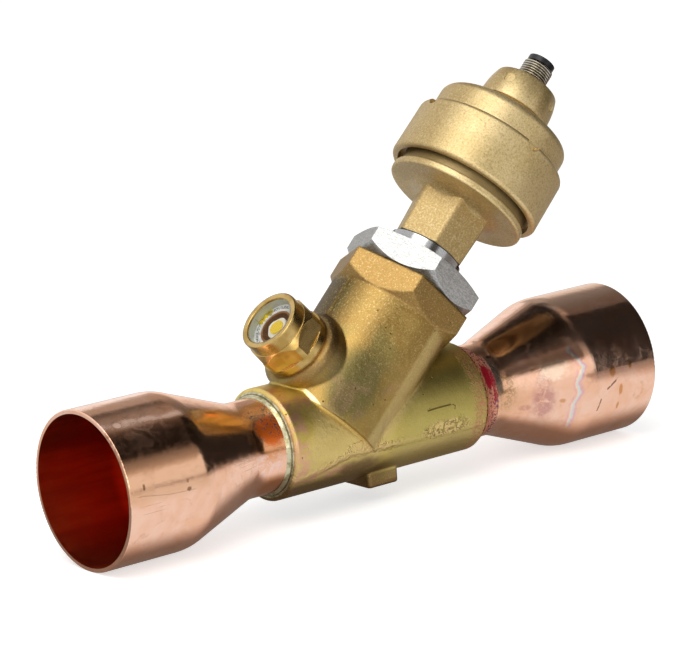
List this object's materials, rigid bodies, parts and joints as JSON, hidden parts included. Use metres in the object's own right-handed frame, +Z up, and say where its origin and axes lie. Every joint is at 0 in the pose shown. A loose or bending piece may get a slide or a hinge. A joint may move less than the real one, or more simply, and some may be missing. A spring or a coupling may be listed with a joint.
{
  "type": "electronic expansion valve",
  "caption": "Inline refrigerant valve with swaged solder ends, a slanted motor-driven spindle and a sight glass; the motor lifts a piston off its seat.",
  "frame": {"origin": "centre of the inlet socket's mouth, on the pipe's axis", "axes": "+X along the pipe from the inlet to the outlet, +Z up towards the actuator, spindle slanted 45 degrees towards the outlet in the XZ plane"},
  "size_m": [0.244, 0.0604, 0.1499],
  "materials": {
    "copper_tube": "drawn copper, bright on the cups and heat tinted by the brazing",
    "cast_brass": "fine sand-cast skin with a dull olive bloom",
    "turned_brass": "turned and lightly polished",
    "blasted_brass": "fine shot-blasted, satin",
    "braze_filler": "dull silver braze fillet",
    "plated_steel": "bright zinc-plated forging",
    "stainless": "turned and ground",
    "black_rubber": "moulded",
    "white_ptfe": "filled sliding plastic",
    "clear_glass": "pressed sight window",
    "scale_white": "printed scale ring with colour fields and no text",
    "bowl_brown": "dull bowl behind the window",
    "holder_white": "felt holder",
    "dot_yellow": "moisture dot",
    "black_plastic": "moulded plug insert",
    "contact_gold": "gold-plated pins",
    "lead_wire": "insulated wire",
    "winding_copper": "enamelled wire",
    "yoke_steel": "pressed yoke sheet",
    "dark_magnet": "sintered ferrite",
    "gear_brass": "cut teeth"
  },
  "bodies": {
    "valve": {"inlet_stub": "copper_tube", "outlet_stub": "copper_tube", "inlet_braze": "braze_filler", "outlet_braze": "braze_filler", "valve_body": "cast_brass", "sight_washer": "turned_brass", "sight_body": "turned_brass", "sight_window": "clear_glass", "label_ring": "scale_white", "indicator_bowl": "bowl_brown", "indicator_holder": "holder_white", "moisture_dot": "dot_yellow", "seat_ring": "stainless", "guide_sleeve": "stainless", "body_seal": "black_rubber", "lock_nut": "plated_steel", "neck_seal": "black_rubber", "actuator_base": "blasted_brass", "screw_bearing": "stainless", "spindle_seal": "white_ptfe", "gear_plate": "yoke_steel", "lay_pin": "stainless", "lower_bearing": "stainless", "upper_bearing": "stainless", "end_plate": "yoke_steel", "stator_lower": "yoke_steel", "stator_upper": "yoke_steel", "stator_spacer": "white_ptfe", "coil_lower": "winding_copper", "coil_upper": "winding_copper", "cap_seal": "black_rubber", "housing_cap": "blasted_brass", "housing_ring": "blasted_brass", "connector_gland": "blasted_brass", "connector_shell": "plated_steel", "connector_insert": "black_plastic", "plug_pins": "contact_gold", "motor_leads": "lead_wire"},
    "rotor": {"rotor_shaft": "stainless", "rotor_magnet": "dark_magnet", "motor_pinion": "gear_brass"},
    "lay_shaft": {"lay_gear": "gear_brass"},
    "screw": {"lead_screw": "stainless", "output_gear": "gear_brass"},
    "plug": {"piston": "stainless", "plug_nose": "stainless", "plug_seal": "white_ptfe", "slide_ring": "white_ptfe", "guide_pin": "stainless"}
  },
  "joints": [
    {"name": "rotor_spin", "type": "hinge", "parent": "valve", "child": "rotor", "pos_m": [0.18685, 0, 0.08485], "axis": [0.7071, 0, 0.7071], "range_deg": [-28578, 0]},
    {"name": "lay_spin", "type": "hinge", "parent": "valve", "child": "lay_shaft", "pos_m": [0.17695, 0.0102, 0.07495], "axis": [0.7071, 0, 0.7071], "range_deg": [0, 9776.7]},
    {"name": "screw_spin", "type": "hinge", "parent": "valve", "child": "screw", "pos_m": [0.15857, 0, 0.05657], "axis": [0.7071, 0, 0.7071], "range_deg": [-3345.3, 0]},
    {"name": "piston_lift", "type": "slide", "parent": "valve", "child": "plug", "axis": [0.7071, 0, 0.7071], "range_m": [0, 0.0172]}
  ],
  "couplings": [
    {"joint": "rotor_spin", "follows": "piston_lift", "rad_per_m": -28996},
    {"joint": "lay_spin", "follows": "piston_lift", "rad_per_m": 9919.6},
    {"joint": "screw_spin", "follows": "piston_lift", "rad_per_m": -3393.6}
  ]
}
